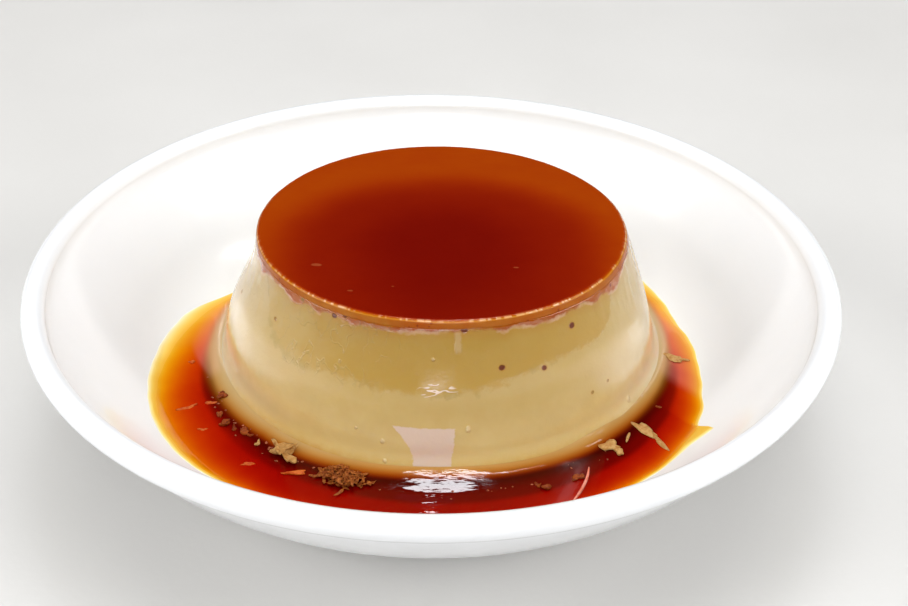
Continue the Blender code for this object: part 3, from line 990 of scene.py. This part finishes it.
# the heap: shreds laid at random along a line by the foot, more of them and higher in its
# middle, which is at that x and y in mm
HEAP = (-17.0, -43.4)
rng = np.random.default_rng(7)
count = 130
along = np.clip(rng.normal(0.0, 0.42, count), -1.15, 1.15)
spread = rng.normal(0.0, 1.0, count) * (1.25 - 0.6 * np.abs(along))
pile = (1.0 - 0.75 * along**2) * rng.uniform(0.1, 1.5, count)
centres = np.stack([HEAP[0] + 5.6 * along + 0.25 * spread, HEAP[1] - 1.7 * along + spread,
                    LEVEL + pile], -1)
sizes = np.stack([rng.uniform(0.5, 1.5, count), rng.uniform(0.22, 0.55, count)], -1)
grids, ends = scraps(centres, sizes, rng.uniform(0, 180, count), np.arange(count) + 50,
                     rng.uniform(0.18, 0.32, count), rng.uniform(0.1, 0.7, count),
                     rough=0.8, rows=4, columns=12)
baked_skin = scrap_finish("baked_skin", (0.38, 0.118, 0.022), (0.18, 0.034, 0.005), 0.8)
place(skin("baked_shreds", grids, ends), baked_skin, "custard")

# crumbs: the smallest bits, strewn along the foot about a few turns, mostly at the front
count = 260
turn = np.radians(rng.choice([-124.0, -112.0, -98.0, -72.0, -60.0, -150.0, -140.0], count)
                  + rng.normal(0.0, 7.0, count))
away = 50.6 + np.abs(rng.normal(0.0, 1.9, count))
centres = circle(turn, 1.0) * away[:, None] + [CUSTARD_AXIS[0] / MM, CUSTARD_AXIS[1] / MM, LEVEL]
centres[:, 2] += rng.uniform(0.0, 0.15, count)
size = rng.uniform(0.08, 0.30, count)
sizes = np.stack([size * rng.uniform(1.0, 1.8, count), size], -1)
grids, ends = scraps(centres, sizes, rng.uniform(0, 180, count), np.arange(count) + 300,
                     size * 0.9, 0.2 * size, rough=0.6, rows=4, columns=10)
crumb = scrap_finish("crumb", (0.42, 0.13, 0.06), (0.16, 0.03, 0.012), 0.5)
place(skin("small_crumbs", grids, ends), crumb, "custard")


def thread_grid(stops, radius, rows, columns):
    """A round thread through three points, start (1 - t)^2 + 2 bend t (1 - t) + end t^2, whose
    radius is 0.25 + 0.75 sqrt(sin(pi t)) of the given one, all in mm."""
    along = np.linspace(0.0, 1.0, rows)[:, None]
    start, middle, end = (np.array(stop, float) for stop in stops)
    bend = 2.0 * middle - 0.5 * (start + end)
    line = start * (1 - along) ** 2 + bend * 2 * along * (1 - along) + end * along**2
    ahead = np.gradient(line, axis=0)
    ahead = ahead / np.linalg.norm(ahead, axis=1, keepdims=True)
    across = np.cross(ahead, [0.0, 0.0, 1.0])
    upward = np.cross(across, ahead)
    angle = once_round(columns)
    size = radius * (0.25 + 0.75 * np.sin(math.pi * along) ** 0.5)
    ring = np.cos(angle)[:, None] * across[:, None] + np.sin(angle)[:, None] * upward[:, None]
    return (line[:, None] + size[:, None] * ring) * MM, [line[0] * MM, line[-1] * MM]


THREAD = ((30.9, -40.4, LEVEL + 0.9), (29.6, -45.0, LEVEL + 0.25), (26.6, -50.4, LEVEL + 0.1))
grid, ends = thread_grid(THREAD, 0.30, 40, 12)
thin_skin = scrap_finish("thin_skin", (0.78, 0.30, 0.22), (0.66, 0.16, 0.09), 2.0)
place(skin("skin_thread", grid, ends), thin_skin, "custard")


# -----------------------------------------------------------------------------
# The studio is a plain pale floor and soft lights: one overhead, one at each side, one in front,
# and three more that only the gloss mirrors.  The camera looks down on the dish from the front.

AIM = Vector((0.0, 0.0, 0.02))


def softbox(name, at, size, power, colour=(1.0, 1.0, 1.0), lights=True, shows=True):
    """A rectangular light that faces the flan; it can be left out of the lighting or the gloss."""
    light = bpy.data.lights.new(name, "AREA")
    light.shape = "RECTANGLE"
    light.size, light.size_y = size
    light.energy = power
    light.color = colour
    holder = stand(name, light)
    holder.location = at
    holder.rotation_euler = (AIM - Vector(at)).to_track_quat("-Z", "Y").to_euler()
    holder.visible_diffuse = lights
    holder.visible_glossy = shows


# each light's place and size in metres, and its power in watts
softbox("overhead", (0.0, 0.20, 1.6), (1.6, 1.2), 18.2, shows=False)
softbox("left", (-1.5, -0.3, 0.8), (1.0, 0.9), 16.2)
softbox("right", (1.5, -0.3, 0.8), (1.0, 0.9), 16.2)
softbox("front", (0.0, -1.6, 1.2), (1.2, 0.7), 20.6)
softbox("skylight", (0.05, 0.64, 1.47), (0.60, 0.38), 43.0, (0.93, 0.96, 1.0), lights=False)
softbox("lamp", (0.92, 0.54, 1.6), (0.12, 0.3), 2.4, lights=False)
softbox("window", (-0.06, -1.5, 0.60), (0.45, 0.7), 6.0, (0.80, 0.86, 1.0), lights=False)

world = bpy.data.worlds.new("room")
world.use_nodes = True
walls = world.node_tree.nodes["Background"].inputs
walls["Color"].default_value = (1.0, 1.0, 1.0, 1.0)
walls["Strength"].default_value = 0.03
scene = bpy.context.scene
scene.world = world
scene.view_settings.view_transform = "Standard"
scene.view_settings.look = "None"

TABLE = (0.60, 0.59, 0.57)
PALE_TABLE = (0.64, 0.63, 0.61)
table_finish = Finish("pale_floor")
cloud = table_finish.noise(60 * MM, 3.0)
table_finish.surface(
    Base_Color=table_finish.blend(0.5 + 0.3 * cloud, TABLE, PALE_TABLE),
    Roughness=0.6 + 0.05 * cloud,
    Normal=table_finish.relief(table_finish.noise(1.5 * MM) * (0.01 * MM)),
)
floor_mesh = bpy.data.meshes.new("floor")
floor_mesh.from_pydata([(-8, -8, 0), (8, -8, 0), (8, 8, 0), (-8, 8, 0)], [], [(0, 1, 2, 3)])
floor_mesh.materials.append(table_finish.material)
stand("floor", floor_mesh)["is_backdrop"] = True

CAMERA_AT = (0.0, -0.2553, 0.1885)
PITCH, YAW, ROLL = math.radians(32.694), math.radians(1.023), math.radians(0.723)
SENSOR_WIDTH = 36.0
FOCAL_LENGTH = 55.51
ahead = Vector((math.sin(YAW) * math.cos(PITCH), math.cos(YAW) * math.cos(PITCH), -math.sin(PITCH)))
right = Vector((math.cos(YAW), -math.sin(YAW), 0.0))
above = right.cross(ahead)
across = math.cos(ROLL) * right + math.sin(ROLL) * above
upward = math.cos(ROLL) * above - math.sin(ROLL) * right
turned_to = Matrix((across, upward, -ahead)).transposed().to_4x4()
lens = bpy.data.cameras.new("camera")
lens.sensor_width = SENSOR_WIDTH
lens.lens = FOCAL_LENGTH
lens.clip_start = 0.01
camera = stand("camera", lens)
camera.matrix_world = Matrix.Translation(CAMERA_AT) @ turned_to
scene.camera = camera

sizes = {"cad": [list(map(float, corner)) for corner in cad_box],
         "visual": [list(map(float, corner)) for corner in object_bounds()]}
